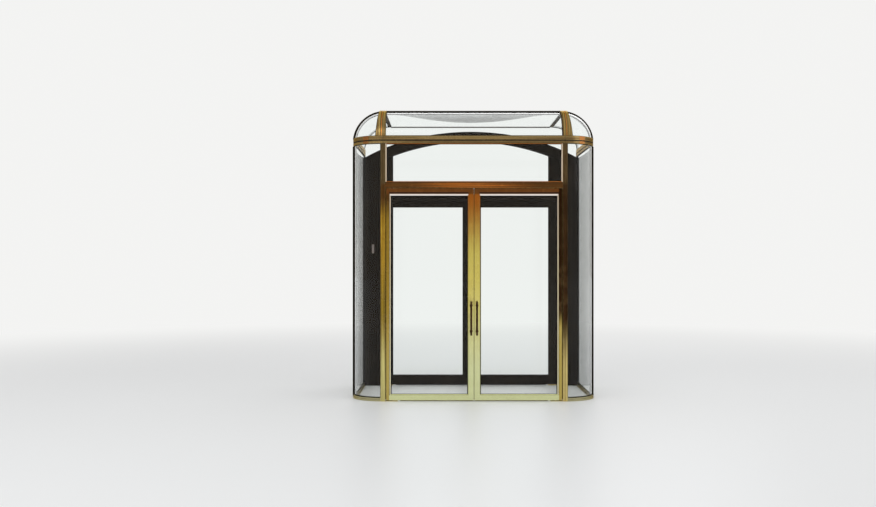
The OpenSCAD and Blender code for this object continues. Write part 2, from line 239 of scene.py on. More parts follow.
WHITE = (1.0, 1.0, 1.0, 1.0)
GRAIN = shader_group("Brushed Grain", "Value", brushed_grain, Stretch=(1.0, 1.0, 0.02), Scale=900.0,
                     Contrast=1.0)
WEAR = shader_group("Edge Wear", "Mask", edge_wear, Radius=0.003, Amount=1.0)
HANDLING = shader_group("Handling Smears", "Mask", handling_smears, Hand_Height=1.05, Reach=0.5,
                        Elsewhere=0.25)
PAINTED_HEIGHT_TONE = shader_group("Painted Height Tone", "Color", painted_height_tone, Low_Colour=WHITE, Middle_Colour=WHITE,
                    High_Colour=WHITE, Low_Height=0.3, Middle_Height=1.3, High_Height=2.2)
PATINA = shader_group("Patina Clouds", "Mask", patina_clouds, Scale=5.0, Low=0.35, High=0.7)
PAINTED_SHADE_ZONE = shader_group("Painted Shade Zone", "Mask", painted_shade_zone, Edge_X=0.0, Side_Fade=0.002, Low_Height=0.0,
                    High_Height=9.0, Height_Fade=0.1)
PAINTED_HIGHLIGHT = shader_group("Painted Middle Highlight", "Mask", painted_middle_highlight, Bright_Half=0.2, Dark_Half=0.7)


def use_group(tree, group, **values):
    """Places a group in a material. A value's name is the input's, with _ for a space."""
    inputs = {label.replace("_", " "): value for label, value in values.items()}
    return add_node(tree, "ShaderNodeGroup", inputs, node_tree=group).outputs[0]


def new_material(name):
    material = bpy.data.materials.new(name)
    material.use_nodes = True
    tree = material.node_tree
    return material, tree, tree.nodes["Principled BSDF"]


def bump(tree, height, strength):
    return add_node(tree, "ShaderNodeBump", {"Strength": strength, "Distance": 0.0004,
                                             "Height": height}).outputs["Normal"]


def close_surface(tree, surface):
    tree.links.new(surface, tree.nodes["Material Output"].inputs["Surface"])


# Materials: directions of the brushing, then colours

VERTICAL = (1.0, 1.0, 0.012)
SIDEWAYS = (0.012, 0.012, 1.0)
BROAD = (1.0, 0.01, 0.01)
LENGTHWISE = (0.01, 0.01, 1.0)
ALL_WAYS = (1.0, 1.0, 1.0)
# Stile colours by height: the pale low one and the red-brown high one are painted reflections
LOW_GOLD = (0.74, 0.78, 0.44)
MID_GOLD = (0.80, 0.68, 0.17)
HIGH_GOLD = (0.46, 0.15, 0.020)
# Darker colours that paint reflections and shade onto the heel stiles, top rails, posts and header, beside
# the plain colours of the beam, rib and base
HEEL_GOLD = (0.38, 0.25, 0.035)
HEEL_OLIVE = (0.50, 0.39, 0.11)
BEAM_OLIVE = (0.36, 0.26, 0.115)
POST_OLIVE = (0.145, 0.105, 0.052)
BASE_OLIVE = (0.40, 0.38, 0.23)
# The header's colour: darker painted reflections towards its ends and a painted highlight in its middle
HEADER_DARK = (0.19, 0.080, 0.020)
HEADER_PAINTED_HIGHLIGHT = (0.62, 0.20, 0.034)
RAIL_BROWN = (0.20, 0.076, 0.020)
POST_BROWN = (0.13, 0.058, 0.014)
LEAF_BROWN = (0.12, 0.055, 0.014)
# Painted shade: near-black brown for brass that lies in shade or mirrors dark surroundings
DARK_PAINTED_SHADE = (0.030, 0.011, 0.003)
SLEEVE_RED = (0.36, 0.15, 0.045)
# Painted shade of the broad bands of painted reflection
BAND_SHADE = (0.075, 0.040, 0.018)
SMEAR_SHADE = (0.30, 0.21, 0.09)
WORN_BRASS = (0.80, 0.66, 0.36)
BRASS_SCRATCHES = ((0.30, 0.26, 0.18), (0.85, 0.82, 0.72))
BRONZE_SCRATCHES = ((0.3, 0.3, 0.3), (0.7, 0.7, 0.7))
BRASS_TINT = (0.75, 0.62, 0.40)
BRONZE_TINT = (0.36, 0.30, 0.20)
CHANNEL_TINT = (0.9, 0.86, 0.8)
GLASS_TINT = (0.22, 0.22, 0.22)
GLASS_GREEN = (0.975, 0.992, 0.985)
GLASS_SHADOW = (0.96, 0.975, 0.97)
DUST = (0.86, 0.86, 0.83)
FIBRE_SHADE = (0.02, 0.012, 0.004)
SCRATCH_DEPTH, RUB_DEPTH, SMEAR_DEPTH, SMEAR_ROUGHNESS = 0.35, 0.7, 0.18, 0.12


def brass(name, tones, stretch=VERTICAL, rough=0.2, heights=(0.25, 1.2, 2.15), zones=(), painted_bands=None,
          glow=None, metallic=1.0):
    """Lacquered brass with brushing, rubbed edges and smears. tones are its colours at heights, which
    paint reflections; zones lists (colour, values of the shade zone mask) of painted shade and
    reflections; the broad bands, given as (depth, direction, scale), are painted reflection; and glow
    is the colour of a painted highlight in the middle of a long bar. A bead painted pale as a
    highlight is less metallic."""
    material, tree, shader = new_material(name)
    # Painted reflections: the colour changes by height, pale low down and browner high up
    tone = use_group(tree, PAINTED_HEIGHT_TONE, Low_Colour=tones[0], Middle_Colour=tones[1], High_Colour=tones[2],
                     Low_Height=heights[0], Middle_Height=heights[1], High_Height=heights[2])
    # Painted shade and reflections in zones, such as a darker heel stile or top rail
    for colour, values in zones:
        tone = mix_colour(tree, use_group(tree, PAINTED_SHADE_ZONE, **values), tone, colour)
    # A painted highlight in the middle of a long bar
    if glow:
        tone = mix_colour(tree, use_group(tree, PAINTED_HIGHLIGHT, Bright_Half=0.1, Dark_Half=0.75), tone, glow)
    # Broad bands of painted reflection, shading the brass across its width or along its length
    if painted_bands:
        depth, along, scale = painted_bands
        wide = use_group(tree, GRAIN, Stretch=along, Scale=scale, Contrast=3.0)
        tone = mix_colour(tree, map_range(tree, wide, 0.15, 0.85, depth, 0.0), tone, BAND_SHADE)
    grain = use_group(tree, GRAIN, Stretch=stretch, Scale=700.0, Contrast=1.4)
    worn = use_group(tree, WEAR, Radius=0.0035, Amount=0.55)
    smears = use_group(tree, HANDLING, Hand_Height=1.05, Reach=0.7)
    streaked = mix_colour(tree, SCRATCH_DEPTH, tone, mix_colour(tree, grain, *BRASS_SCRATCHES), "OVERLAY")
    rubbed = mix_colour(tree, product(tree, worn, RUB_DEPTH), streaked, WORN_BRASS)
    by_grain = map_range(tree, grain, 0.2, 0.8, rough - 0.05, rough + 0.07, smooth=False)
    set_inputs(tree, shader, {
        "Base Color": mix_colour(tree, product(tree, smears, SMEAR_DEPTH), rubbed, SMEAR_SHADE),
        "Metallic": metallic,
        "Roughness": math_node(tree, "ADD", by_grain, product(tree, smears, SMEAR_ROUGHNESS)),
        "Normal": bump(tree, grain, 0.12),
        "Specular Tint": BRASS_TINT, "Coat Weight": 0.03, "Coat Roughness": 0.1})
    return material


def bronze(name, colours, rough, metallic=0.85, stretch=VERTICAL, wear=0.6, painted_bands=0.0, tint=BRONZE_TINT,
           grain_depth=0.1):
    """Darkened bronze with cloudy patina, brushed under its lacquer and rubbed at the edges: colours
    are those of the body, of the clouds and of the rubbed edges. Its broad streaks in the rubbed
    edges' colour are painted reflection."""
    material, tree, shader = new_material(name)
    plain, cloud, edge = colours
    clouds = use_group(tree, PATINA, Scale=4.5)
    grain = use_group(tree, GRAIN, Stretch=stretch, Scale=600.0, Contrast=1.2)
    worn = use_group(tree, WEAR, Radius=0.003, Amount=wear)
    body = mix_colour(tree, clouds, plain, cloud)
    # Broad streaks of painted reflection in the rubbed edges' colour
    if painted_bands:
        wide = use_group(tree, GRAIN, Stretch=BROAD, Scale=60.0, Contrast=3.0)
        body = mix_colour(tree, map_range(tree, wide, 0.55, 0.95, 0.0, painted_bands), body, edge)
    streaked = mix_colour(tree, 0.3, body, mix_colour(tree, grain, *BRONZE_SCRATCHES), "OVERLAY")
    set_inputs(tree, shader, {
        "Base Color": mix_colour(tree, worn, streaked, edge),
        "Metallic": metallic,
        "Roughness": map_range(tree, clouds, 0.0, 1.0, rough, rough + 0.14, smooth=False),
        "Normal": bump(tree, grain, grain_depth),
        "Specular IOR Level": 0.25, "Specular Tint": tint})
    return material


def clear_glass(name):
    """Clear float glass with a thin film of dust low down. Rays from lamps pass straight through,
    so that what stands inside is lit."""
    material, tree, shader = new_material(name)
    dust = use_group(tree, HANDLING, Hand_Height=0.0, Reach=0.3, Elsewhere=0.0)
    set_inputs(tree, shader, {
        "Base Color": mix_colour(tree, product(tree, dust, 0.25), GLASS_GREEN, DUST),
        "Roughness": map_range(tree, dust, 0.0, 1.0, 0.0, 0.02, smooth=False),
        "Transmission Weight": 1.0, "IOR": 1.5, "Specular Tint": GLASS_TINT})
    path = add_node(tree, "ShaderNodeLightPath").outputs
    open_way = add_node(tree, "ShaderNodeBsdfTransparent", {"Color": GLASS_SHADOW}).outputs["BSDF"]
    close_surface(tree, mix_shaders(tree, path["Is Shadow Ray"], shader.outputs["BSDF"], open_way))
    return material


def matt_seal(name, colour, bloom, fibre=0.0):
    """Matt rubber or pile of the seals, with a faint bloom."""
    material, tree, shader = new_material(name)
    clouds = use_group(tree, PATINA, Scale=18.0)
    body = mix_colour(tree, clouds, colour, bloom)
    if fibre:
        thread = use_group(tree, GRAIN, Stretch=ALL_WAYS, Scale=1400.0, Contrast=2.0)
        body = mix_colour(tree, product(tree, thread, fibre), body, FIBRE_SHADE)
    set_inputs(tree, shader, {
        "Base Color": body, "Specular IOR Level": 0.1,
        "Roughness": map_range(tree, clouds, 0.0, 1.0, 0.6, 0.85, smooth=False)})
    return material


# Where painted shade and painted reflections make the brass darker or redder: values of the shade zone mask

HEEL_STILE_X = {LEFT: -0.894, RIGHT: 0.893}


def heel_zone(side, low, **fade):
    """The heel stile of a lobby leaf, from a height upwards, darkened by painted shade and reflections."""
    return {"Edge_X": HEEL_STILE_X[side], "Side_Fade": 0.003 * side, "Low_Height": low, **fade}


def above(height, fade):
    """The whole width above a height, darkened by painted shade or reflections."""
    return {"Edge_X": -9.0, "Side_Fade": 1.0, "Low_Height": height, "Height_Fade": fade}


UNDER_FLOOR = -1.0
# Painted shade on the leaves' top rails under the header, and painted reflection on the posts above it
TOP_RAIL = (RAIL_BROWN, above(2.175, 0.02))
POST_TOP = (POST_OLIVE, above(2.27, 0.04))
STILE_TONES = (LOW_GOLD, MID_GOLD, HIGH_GOLD)
STILE_HEIGHTS = (0.25, 1.4, 2.2)
# Each look paints the reflections and shade its brass shows where it stands, so the posts and leaves are lit
# and shaded copies of one polished brass
BRASS_LOOKS = {
    "brass_leaf_left": dict(tones=STILE_TONES, heights=STILE_HEIGHTS, zones=[
        (HEEL_OLIVE, heel_zone(LEFT, UNDER_FLOOR)), (HEEL_GOLD, heel_zone(LEFT, 0.35, Height_Fade=0.8)),
        (LEAF_BROWN, heel_zone(LEFT, 1.88, Height_Fade=0.28)), TOP_RAIL]),
    "brass_leaf_right": dict(tones=STILE_TONES, heights=STILE_HEIGHTS, zones=[
        (HEEL_OLIVE, heel_zone(RIGHT, UNDER_FLOOR)), TOP_RAIL,
        (DARK_PAINTED_SHADE, heel_zone(RIGHT, 0.75, Height_Fade=0.22))]),
    # Posts: painted reflections, pale at the foot, darker near hand height and brown higher up on the left,
    # dark brown from knee height up on the right
    "brass_post_left": dict(
        tones=((1.0, 0.92, 0.37), (0.36, 0.25, 0.032), (0.66, 0.41, 0.042)), rough=0.22,
        heights=(0.35, 0.95, 1.6), zones=[(POST_BROWN, above(1.86, 0.3)), POST_TOP],
        painted_bands=(0.5, BROAD, 75.0)),
    "brass_post_right": dict(tones=((0.90, 0.73, 0.29), DARK_PAINTED_SHADE, DARK_PAINTED_SHADE), rough=0.24,
                             heights=(0.28, 0.92, 2.2), zones=[POST_TOP], painted_bands=(0.5, BROAD, 75.0)),
    "brass_beam": dict(tones=[BEAM_OLIVE] * 3, stretch=SIDEWAYS, rough=0.24,
                       painted_bands=(0.55, LENGTHWISE, 70.0)),
    "brass_rib": dict(tones=(BEAM_OLIVE, BEAM_OLIVE, (0.36, 0.26, 0.09)), rough=0.24,
                      heights=(0.1, 1.5, 2.8), painted_bands=(0.8, BROAD, 90.0)),
    # The header: painted reflections dark at its ends and a painted highlight in its middle
    "copper_brass": dict(tones=[HEADER_DARK] * 3, stretch=SIDEWAYS, painted_bands=(0.6, LENGTHWISE, 110.0),
                         glow=HEADER_PAINTED_HIGHLIGHT),
    "base_brass": dict(tones=(BASE_OLIVE, BASE_OLIVE, BEAM_OLIVE), stretch=SIDEWAYS, rough=0.26,
                       heights=(0.1, 1.5, 2.8)),
    "gold_bead": dict(tones=STILE_TONES, rough=0.18),
    # Painted highlights: beads painted pale or tan and made less metallic, standing for the light caught
    # along the top and heel of the leaves' panes and the sides of the transom light
    "pale_highlight_bead": dict(tones=((0.95, 0.93, 0.84), (0.95, 0.90, 0.76), (1.0, 0.93, 0.87)),
                      rough=0.14, metallic=0.2),
    "tan_highlight_bead": dict(tones=((0.94, 0.88, 0.62), (0.90, 0.78, 0.54), (0.84, 0.68, 0.54)),
                     rough=0.16, metallic=0.4),
    "screw_brass": dict(tones=((0.62, 0.55, 0.32), (0.55, 0.42, 0.18), BEAM_OLIVE)),
    "sleeve_copper": dict(tones=[SLEEVE_RED] * 3, stretch=SIDEWAYS, rough=0.22),
}
BRONZE_LOOKS = {
    "dark_bronze": dict(
        colours=((0.009, 0.007, 0.004), (0.019, 0.015, 0.009), (0.16, 0.135, 0.075)), rough=0.30),
    "black_bronze": dict(
        colours=((0.007, 0.0045, 0.003), (0.013, 0.009, 0.006), (0.035, 0.026, 0.018)),
        rough=0.45, metallic=0.3, wear=0.5, painted_bands=0.3, grain_depth=0.03),
    "pull_bronze": dict(
        colours=((0.045, 0.024, 0.012), (0.085, 0.045, 0.02), (0.32, 0.22, 0.10)), rough=0.22),
    "satin_plate": dict(
        colours=((0.20, 0.165, 0.155), (0.26, 0.22, 0.205), (0.45, 0.40, 0.37)), rough=0.3),
    "satin_channel": dict(
        colours=((0.52, 0.49, 0.45), (0.60, 0.57, 0.52), (0.75, 0.72, 0.66)), rough=0.38,
        stretch=SIDEWAYS, tint=CHANNEL_TINT),
}
SEAL_LOOKS = {
    "seal_rubber": ((0.004, 0.003, 0.002), (0.011, 0.010, 0.008)),
    "gold_pile": ((0.20, 0.13, 0.025), (0.28, 0.19, 0.05), 0.5),
    "dark_pile": ((0.020, 0.016, 0.012), (0.035, 0.028, 0.022), 0.5),
}
MATERIALS = {
    **{name: brass(name, **look) for name, look in BRASS_LOOKS.items()},
    **{name: bronze(name, **look) for name, look in BRONZE_LOOKS.items()},
    "clear_glass": clear_glass("clear_glass"),
    **{name: matt_seal(name, *look) for name, look in SEAL_LOOKS.items()},
}
OWN_MATERIAL = {"floor_pivots": "screw_brass", "roof_wall_channel": "satin_channel"}
for _, word in SIDES:
    OWN_MATERIAL.update({f"lobby_leaf_{word}": f"brass_leaf_{word}", f"lobby_pulls_{word}": "pull_bronze",
                         f"front_post_{word}": f"brass_post_{word}", f"roof_rib_{word}": "brass_rib",
                         f"base_rail_{word}": "base_brass"})


def finish_nodes():
    for name, obj in NODES.items():
        plain = "brass_beam" if SLOT_OF[name] == "polished_brass" else SLOT_OF[name]
        for slot in obj.material_slots:
            slot.material = MATERIALS[OWN_MATERIAL.get(name, plain)]


finish_nodes()


# Piece tools


def in_scene(name, data):
    """A new object at the origin."""
    obj = bpy.data.objects.new(name, data)
    bpy.context.scene.collection.objects.link(obj)
    return obj


class Piece:
    """Collects closed shapes into one mesh that rides on one body."""

    def __init__(self, name, body, slot, *materials):
        self.name, self.body, self.slot = name, body, slot
        self.materials = materials
        self.vertices, self.faces, self.kinds = [], [], []

    def add(self, vertices, faces, kinds=None):
        start = len(self.vertices)
        self.vertices += [tuple(v) for v in vertices]
        self.faces += [tuple(start + i for i in face) for face in faces]
        self.kinds += kinds if kinds else [0] * len(faces)

    def finish(self, smooth_angle=math.radians(35)):
        mesh = bpy.data.meshes.new(self.name)
        mesh.from_pydata(self.vertices, [], self.faces)
        for key in self.materials:
            mesh.materials.append(MATERIALS[key])
        mesh.polygons.foreach_set("material_index", self.kinds)
        work = bmesh.new()
        work.from_mesh(mesh)
        bmesh.ops.recalc_face_normals(work, faces=work.faces)
        work.to_mesh(mesh)
        work.free()
        mesh.shade_smooth()
        mesh.set_sharp_from_angle(angle=smooth_angle)
        obj = in_scene(self.name, mesh)
        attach(obj, self.body)


def quads(loops, count, closed=False):
    """Faces between neighbouring loops of points, of which each has the same count."""
    return [(i * count + j, i * count + (j + 1) % count,
             (i + 1) % loops * count + (j + 1) % count, (i + 1) % loops * count + j)
            for i in range(loops if closed else loops - 1) for j in range(count)]


def inset_point(outline, i, widths, share):
    """A corner of an outline moved inwards by a share of the widths of the strips on its two sides."""
    count = len(outline)
    normals = []
    for a, b in ((i - 1, i), (i, (i + 1) % count)):
        along = (Vector(outline[b]) - Vector(outline[a])).normalized()
        normals.append(Vector((-along.y, along.x)))
    n1, n2 = normals
    w1, w2 = widths[i - 1] * share, widths[i] * share
    det = n1.x * n2.y - n1.y * n2.x
    if abs(det) < 1e-5:
        return Vector(outline[i]) + n1 * w1
    return Vector(outline[i]) + Vector((w1 * n2.y - w2 * n1.y, n1.x * w2 - n2.x * w1)) / det


def add_ring(piece, outline, place, widths, section, kinds=None):
    """A mitred strip round the inside of an outline that runs anticlockwise. place(u, v, h) puts a
    point on the pane, and section lists (share of the strip's width, height off the pane's middle)."""
    vertices = []
    for i in range(len(outline)):
        for share, height in section:
            point = inset_point(outline, i, widths, share)
            vertices.append(place(point.x, point.y, height))
    marks = [kind for kind in kinds or [0] * len(outline) for _ in section]
    piece.add(vertices, quads(len(outline), len(section), closed=True), marks)


def inset_outline(outline, widths):
    return [tuple(inset_point(outline, i, widths, 1.0)) for i in range(len(outline))]


def rectangle(u0, v0, u1, v1):
    """Anticlockwise: its sides are the lower, the right, the upper and the left one."""
    return [(u0, v0), (u1, v0), (u1, v1), (u0, v1)]


def subdivided(outline, step=0.03):
    points = []
    for i, start in enumerate(outline):
        a, b = Vector(start), Vector(outline[(i + 1) % len(outline)])
        parts = max(1, math.ceil((b - a).length / step))
        points += [tuple(a.lerp(b, k / parts)) for k in range(parts)]
    return points


def flat_pane(origin, along, up, out):
    return lambda u, v, h: origin + along * u + up * v + out * h


def bent_pane(centre, start, turn, axis):
    """u runs round the bend from start towards turn, v along its axis, and h outwards."""
    def place(u, v, h):
        angle = u / GLASS_R
        return centre + (start * math.cos(angle) + turn * math.sin(angle)) * (GLASS_R + h) + axis * v
    return place


def add_sweep(piece, points, normals, section):
    """A closed bar along points: section lists (a, b), a sideways and b along the normal."""
    count, m = len(points), len(section)
    vertices = []
    for i, (point, normal) in enumerate(zip(points, normals)):
        tangent = (points[min(i + 1, count - 1)] - points[max(i - 1, 0)]).normalized()
        sideways = tangent.cross(normal).normalized()
        outward = sideways.cross(tangent).normalized()
        vertices += [point + sideways * a + outward * b for a, b in section]
    ends = [tuple(range(m)), tuple((count - 1) * m + j for j in reversed(range(m)))]
    piece.add(vertices, quads(count, m) + ends)


def add_arc(piece, centre, ways, radius, section):
    """A bar round a centre, through the points at a radius from it along ways."""
    add_sweep(piece, [centre + away * radius for away in ways], ways, section)


def add_box(piece, low, high):
    corners = [(x, y, z) for x in (low[0], high[0]) for y in (low[1], high[1]) for z in (low[2], high[2])]
    piece.add(corners, [(0, 1, 3, 2), (4, 6, 7, 5), (0, 4, 5, 1), (2, 3, 7, 6), (0, 2, 6, 4), (1, 5, 7, 3)])


def add_turned(piece, centre, axis, profile, sides=20):
    """A turned shape about an axis: profile lists (radius, distance along the axis), closed at both ends."""
    across = axis.orthogonal().normalized()
    other = axis.cross(across).normalized()
    m = len(profile)
    vertices = []
    for i in range(sides):
        angle = 2 * math.pi * i / sides
        away = across * math.cos(angle) + other * math.sin(angle)
        vertices += [centre + away * r + axis * d for r, d in profile]
    faces = [(i * m + j, i * m + j + 1, (i + 1) % sides * m + j + 1, (i + 1) % sides * m + j)
             for i in range(sides) for j in range(m - 1)]
    faces.append(tuple(i * m for i in reversed(range(sides))))
    faces.append(tuple(i * m + m - 1 for i in range(sides)))
    piece.add(vertices, faces)


def stops(start, end, count):
    """Evenly spaced values from start to end, with both of them."""
    return [start + (end - start) * i / count for i in range(count + 1)]


def plan_way(side, angle):
    """A level direction, turned from straight ahead towards one side."""
    return Vector((side * math.sin(angle), -math.cos(angle), 0))


def bar_section(half, low, high):
    """A rectangular section for add_sweep."""
    return [(-half, low), (half, low), (half, high), (-half, high)]


def pane_box(node):
    """The box of a node, and the middle of its thickness."""
    low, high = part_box(node)
    return low, high, (low.y + high.y) / 2


# Glazing of the doors and of the lights over them

CLEAR = 0.0002
SEAL_LOW = HALF_GLASS + CLEAR
SEAL_TOP = 0.0080
BEAD_TOP = 0.0150
BEAD_ROUND = 0.004
THIN_LINE = 0.0010
FACES = ((-1, "lobby"), (1, "street"))
SEAL_SECTION = [(0.0, SEAL_LOW), (0.0, SEAL_TOP), (0.8, SEAL_TOP), (1.0, SEAL_TOP - 0.001), (1.0, SEAL_LOW)]


def bead_section(width):
    """A bead with its inner edge rounded, as shares of its width and heights off the glass's middle."""
    arc = [((width - BEAD_ROUND + BEAD_ROUND * math.sin(turn)) / width,
            BEAD_TOP - BEAD_ROUND + BEAD_ROUND * math.cos(turn)) for turn in stops(0.0, math.pi / 2, 4)]
    return [(0.0, SEAL_LOW), (0.0, BEAD_TOP)] + arc + [(1.0, SEAL_LOW)]


def glaze(name, node, body, slot, materials, beads, seals, kinds=None, lines=None, outline=None):
    """Beads with rubber on both sides of them, on both faces of an upright pane. beads, seals and
    lines are widths along each side of its outline, and kinds picks the material of the beads."""
    low, high, y = pane_box(node)
    outline = outline or rectangle(low.x, low.z, high.x, high.z)
    lines = lines or [THIN_LINE] * len(outline)
    bead_line = inset_outline(outline, lines)
    for face, side in FACES:
        place = flat_pane(Y_AXIS * y, X_AXIS, Z_AXIS, Y_AXIS * face)
        strip = Piece(f"{name}_beads_{side}", body, slot, *materials)
        add_ring(strip, bead_line, place, beads, bead_section(min(beads)), kinds)
        strip.finish()
        rubber = Piece(f"{name}_seals_{side}", body, slot, "seal_rubber")
        add_ring(rubber, outline, place, lines, SEAL_SECTION)
        add_ring(rubber, inset_outline(bead_line, beads), place, seals, SEAL_SECTION)
        rubber.finish()


def by_side(side, lower, heel, upper, meeting):
    """Values along the lower, the right, the upper and the left side of a leaf's glass."""
    return [lower, heel, upper, meeting] if side == RIGHT else [lower, meeting, upper, heel]


def glaze_leaves():
    for side, word in SIDES:
        # The outer rubber line is widest at the heel and the top, where it also stands for the shadow gap
        # beside the stile and rail: painted shade
        glaze(f"lobby_leaf_{word}", f"lobby_leaf_glass_{word}", f"lobby_door_{word}", "polished_brass",
              ("gold_bead", "pale_highlight_bead", "tan_highlight_bead"), beads=by_side(side, 0.009, 0.010, 0.017, 0.006),
              seals=by_side(side, 0.003, 0.010, 0.014, 0.008), kinds=by_side(side, 0, 2, 1, 0),
              lines=by_side(side, THIN_LINE, 0.005, 0.0035, THIN_LINE))
        glaze(f"wall_leaf_{word}", f"wall_leaf_glass_{word}", f"wall_door_{word}", "black_bronze",
              ("black_bronze",), beads=[0.0055] * 4, seals=[0.002] * 4)


ARCH_R, ARCH_T = 2.740, 0.115
ARCH_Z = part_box("wall_arch")[1].z - ARCH_R


def glaze_lights():
    glaze("transom_light", "transom_light", "frame", "polished_brass", ("gold_bead", "tan_highlight_bead"),
          beads=[0.007, 0.011, 0.005, 0.011], seals=[0.003, 0.003, 0.004, 0.003], kinds=[0, 1, 0, 1])
    low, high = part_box("fanlight_glass")
    inner_r = ARCH_R - ARCH_T
    outline = [(low.x, low.z), (high.x, low.z)]
    outline += [(x, ARCH_Z + math.sqrt(inner_r ** 2 - x ** 2)) for x in stops(high.x, low.x, 24)]
    glaze("fanlight", "fanlight_glass", "frame", "black_bronze", ("black_bronze",),
          beads=[0.006] * len(outline), seals=[0.002] * len(outline), outline=outline)


glaze_leaves()
glaze_lights()


# Seals of the flat and bent panes

EDGE_W, EDGE_TOP, EDGE_LIP = 0.005, 0.0088, 0.0072
EDGE_SECTION = [(0.0, SEAL_LOW), (0.0, EDGE_TOP), (0.6, EDGE_TOP), (1.0, EDGE_LIP), (1.0, SEAL_LOW)]
BEAM_ANGLE = math.asin(BEAM_RISE / GLASS_R)
TUBE_ANGLE = math.acos(HALF_TUBE / GLASS_R)
POST_ANGLE = math.asin((POST_HIGH.x - POST_X) / GLASS_R)
DOME_TOP = 0.97 * GLASS_R
DOME_STRIP = 0.004
STRIP_OFF_RIB, GASKET_OFF_RIB = 0.002, 0.003
SUNK = 0.001


def pane_seals():
    seals = Piece("pane_seals", "frame", "black_bronze", "seal_rubber")

    def edge_ring(outline, place):
        for face in (-1, 1):
            add_ring(seals, outline, place, [EDGE_W] * len(outline),
                     [(share, height * face) for share, height in EDGE_SECTION])

    behind = BEND_Y + HALF_TUBE
    beam, post, tube = BEAM_ANGLE * GLASS_R, POST_ANGLE * GLASS_R, TUBE_ANGLE * GLASS_R
    for side in (LEFT, RIGHT):
        out = X_AXIS * side
        edge_ring(rectangle(behind, BASE_TOP, WALL_POST_Y, BEAM_LOW.z),
                  flat_pane(out * GLASS_X, Y_AXIS, Z_AXIS, out))
        edge_ring(subdivided(rectangle(post, BASE_TOP, tube, BEAM_LOW.z)),
                  bent_pane(out * POST_X + Y_AXIS * BEND_Y, -Y_AXIS, out, Z_AXIS))
        edge_ring(subdivided(rectangle(beam, behind, tube, WALL_POST_Y)),
                  bent_pane(out * POST_X + Z_AXIS * BEND_Z, out, Z_AXIS, Y_AXIS))
    edge_ring(subdivided(rectangle(beam, -POST_LOW.x, tube, POST_LOW.x)),
              bent_pane(Y_AXIS * BEND_Y + Z_AXIS * BEND_Z, -Y_AXIS, Z_AXIS, X_AXIS))
    edge_ring(rectangle(ROOF_LOW.x, ROOF_LOW.y, ROOF_HIGH.x, ROOF_HIGH.y),
              flat_pane(Z_AXIS * (ROOF_LOW.z + HALF_GLASS), X_AXIS, Y_AXIS, Z_AXIS))
    seals.finish()


def rib_edge_x(z):
    """Where the slanted edge of the roof rib lies at a height, on the right."""
    return RIB_HIGH.x - RIB_TAPER * (z - BEAM_HIGH.z) / (RIB_HIGH.z - BEAM_HIGH.z)


def dome_seals():
    """Strips along the foot of each corner dome, and along the slanted edge of its rib."""
    seals = Piece("dome_seals", "frame", "black_bronze", "seal_rubber")
    foot_r = math.sqrt(GLASS_R ** 2 - BEAM_RISE ** 2)
    turns = stops(math.asin((RIB_HIGH.x - POST_X) / foot_r), math.acos(HALF_TUBE / foot_r), 24)
    for side in (LEFT, RIGHT):
        centre = Vector((side * POST_X, BEND_Y, BEND_Z))
        foot = [plan_way(side, turn) * foot_r + Z_AXIS * BEAM_RISE for turn in turns]
        edge = []
        for height in stops(BEAM_RISE, DOME_TOP, 24):
            off = rib_edge_x(BEND_Z + height) - POST_X + STRIP_OFF_RIB
            reach = GLASS_R ** 2 - off ** 2 - height ** 2
            if reach > HALF_TUBE ** 2:
                edge.append(Vector((side * off, -math.sqrt(reach), height)))
        for path in (foot, edge):
            for low, high in ((SEAL_LOW, EDGE_TOP), (-EDGE_TOP, -SEAL_LOW)):
                add_sweep(seals, [centre + p for p in path], [p.normalized() for p in path],
                          bar_section(DOME_STRIP, low, high))
    seals.finish()


def tube_gaskets():
    """Rubber that joins the glass to the round side posts and corner arcs and wraps its edge."""
    gaskets = Piece("tube_gaskets", "frame", "dark_bronze", "seal_rubber")
    hug, deep = HALF_TUBE - 0.0005, HALF_TUBE + 0.003
    outer, inner, tip = -0.0042, -0.0175, 0.0008
    arc = [math.radians(a) for a in (105, 120, 135, 150, 165, 177)]
    rib_angle = math.acos((rib_edge_x(RIB_HIGH.z) + GASKET_OFF_RIB - POST_X) / TUBE_R)
    turns = stops(math.asin(BEAM_RISE / TUBE_R), rib_angle, 20)
    for side in (LEFT, RIGHT):
        post = [Vector((side * SIDE_X, BEND_Y, z)) for z in (BASE_TOP, BEAM_LOW.z)]
        outwards = [Vector((side * math.cos(turn), 0, math.sin(turn))) for turn in turns]
        centre = Vector((side * POST_X, BEND_Y, BEND_Z))
        for flip in (-1, 1):
            section = [(flip * hug * math.sin(a), hug * math.cos(a)) for a in arc]
            section += [(flip * tip, inner), (flip * deep, inner), (flip * deep, outer)]
            add_sweep(gaskets, post, [X_AXIS * side] * 2, section)
            add_arc(gaskets, centre, outwards, TUBE_R, section)
    gaskets.finish()


def spandrel_seals():
    """Strips along the top of the arch, on both faces of the glass over it."""
    seals = Piece("arch_seals", "frame", "black_bronze", "seal_rubber")
    y = pane_box("spandrel_glass")[2]
    reach = 0.92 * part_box("wall_arch")[1].x
    foot, lip, top = 0.0095, 0.0075, 0.006
    outwards = [Vector((x, 0, math.sqrt(ARCH_R ** 2 - x ** 2))) / ARCH_R for x in stops(-reach, reach, 40)]
    for flip in (-1, 1):
        section = [(flip * SEAL_LOW, -SUNK), (flip * foot, -SUNK), (flip * lip, top), (flip * SEAL_LOW, top)]
        add_arc(seals, Vector((0, y, ARCH_Z)), outwards, ARCH_R, section)
    seals.finish()


pane_seals()
dome_seals()
tube_gaskets()
spandrel_seals()


# Dark lines of the beam, some of them painted shade, and the joints where it meets its neighbours

